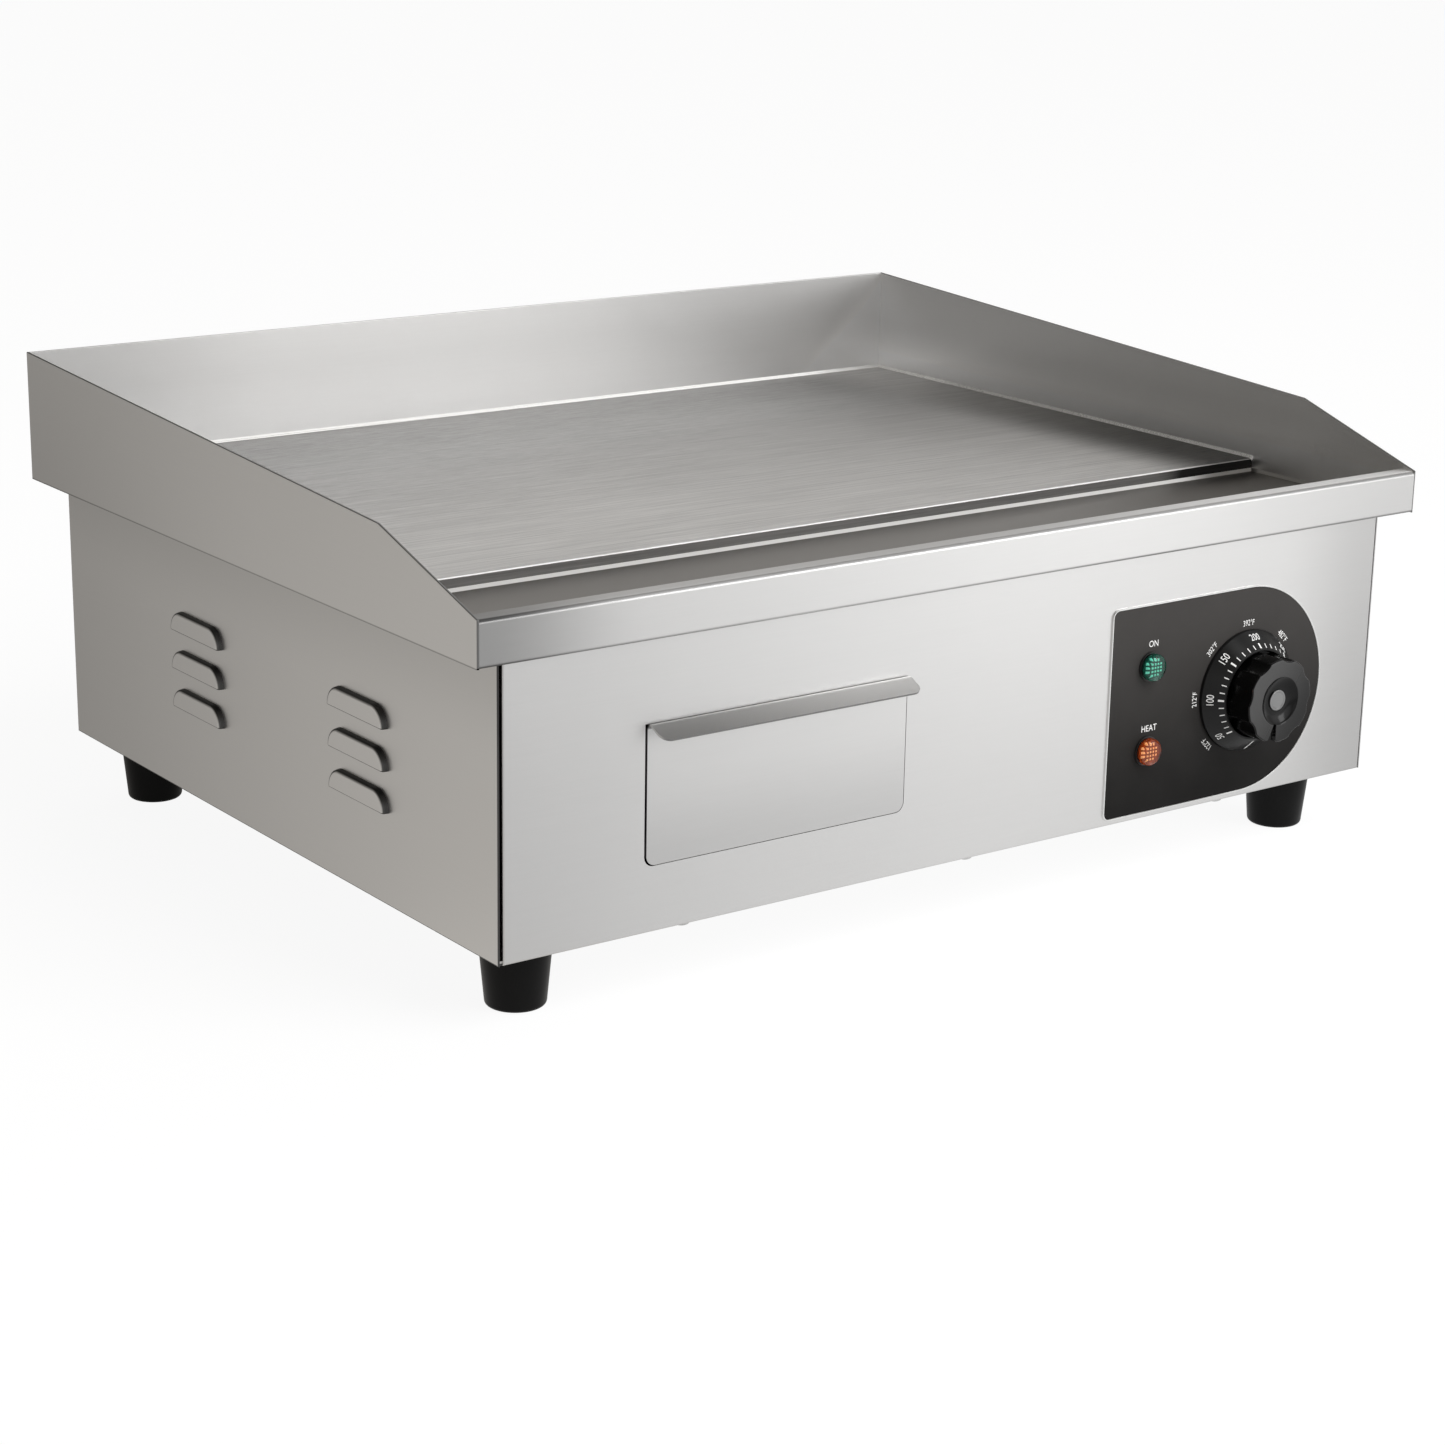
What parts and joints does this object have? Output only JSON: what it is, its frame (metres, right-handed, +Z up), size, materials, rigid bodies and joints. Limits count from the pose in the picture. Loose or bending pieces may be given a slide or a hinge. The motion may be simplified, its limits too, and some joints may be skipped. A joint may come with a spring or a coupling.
{
  "type": "electric griddle",
  "caption": "Countertop electric griddle: flat steel plate with splash guards and grease trough on a louvred steel case with drip drawer, thermostat dial and lamps.",
  "frame": {"origin": "on the table, under the middle of the cooking tray", "axes": "+X to the right, +Y to the back, +Z up; the dial faces -Y"},
  "size_m": [0.55, 0.462, 0.231],
  "materials": {
    "steel_sheet": "fine brushed stainless sheet",
    "plate_steel": "steel plate brushed along its width",
    "weld": "polished weld bead",
    "inner_steel": "plain mill-finish sheet",
    "fastener": "zinc-plated steel",
    "foot_rubber": "black rubber",
    "overlay_black": "black film with a satin face",
    "dial_black": "satin black moulding",
    "cap_grey": "bare grey disc",
    "moulded_black": "black moulding",
    "green_lens": "clear green lens",
    "orange_lens": "clear orange lens",
    "element_sheath": "dark heat-tinted sheath",
    "ceramic": "white ceramic",
    "insulation": "mineral wool",
    "copper": "copper and brass",
    "lead_sleeve": "glass-braid sleeve"
  },
  "bodies": {
    "griddle": {"back_guard": "steel_sheet", "base_plate": "inner_steel", "bulb_clip": "inner_steel", "centre_heating_element": "element_sheath", "clamp_bars": "inner_steel", "clamp_nuts": "fastener", "clamp_studs": "fastener", "control_overlay": "overlay_black", "dial_bezel": "dial_black", "drain_spout": "inner_steel", "earth_terminal": "copper", "element_insulators": "ceramic", "foot_nuts": "fastener", "foot_screws": "fastener", "foot_washers": "fastener", "front_left_foot": "foot_rubber", "front_lip": "steel_sheet", "front_panel": "steel_sheet", "front_right_foot": "foot_rubber", "gland_body": "moulded_black", "gland_locknut": "moulded_black", "gland_nut": "moulded_black", "gland_seal": "foot_rubber", "grease_trough": "steel_sheet", "griddle_plate": "plate_steel", "heat_lamp_body": "moulded_black", "heat_lamp_lens": "orange_lens", "heat_shield": "inner_steel", "insulation_blanket": "insulation", "internal_leads": "lead_sleeve", "lamp_nuts": "fastener", "left_drawer_rail": "inner_steel", "left_guard": "steel_sheet", "left_heating_element": "element_sheath", "left_side_panel": "steel_sheet", "overheat_cutout": "moulded_black", "panel_screws": "fastener", "plate_weld": "weld", "power_lamp_body": "moulded_black", "power_lamp_lens": "green_lens", "rail_screws": "fastener", "rear_left_foot": "foot_rubber", "rear_panel": "steel_sheet", "rear_right_foot": "foot_rubber", "right_drawer_rail": "inner_steel", "right_guard": "steel_sheet", "right_heating_element": "element_sheath", "right_side_panel": "steel_sheet", "terminal_block": "ceramic", "terminal_screws": "fastener", "thermostat_body": "moulded_black", "thermostat_bulb": "copper", "thermostat_screws": "fastener", "trough_weld": "weld"},
    "drip_drawer": {"drawer_front": "steel_sheet", "drip_tray": "inner_steel"},
    "dial_knob": {"knob": "dial_black", "knob_cap": "cap_grey", "thermostat_spindle": "fastener"}
  },
  "joints": [
    {"name": "drawer_slide", "type": "slide", "parent": "griddle", "child": "drip_drawer", "axis": [0, -1, 0], "range_m": [0, 0.15]},
    {"name": "knob_turn", "type": "hinge", "parent": "griddle", "child": "dial_knob", "pos_m": [0.1724, -0.206, 0.0872], "axis": [0, 1, 0], "range_deg": [-12, 258]}
  ]
}
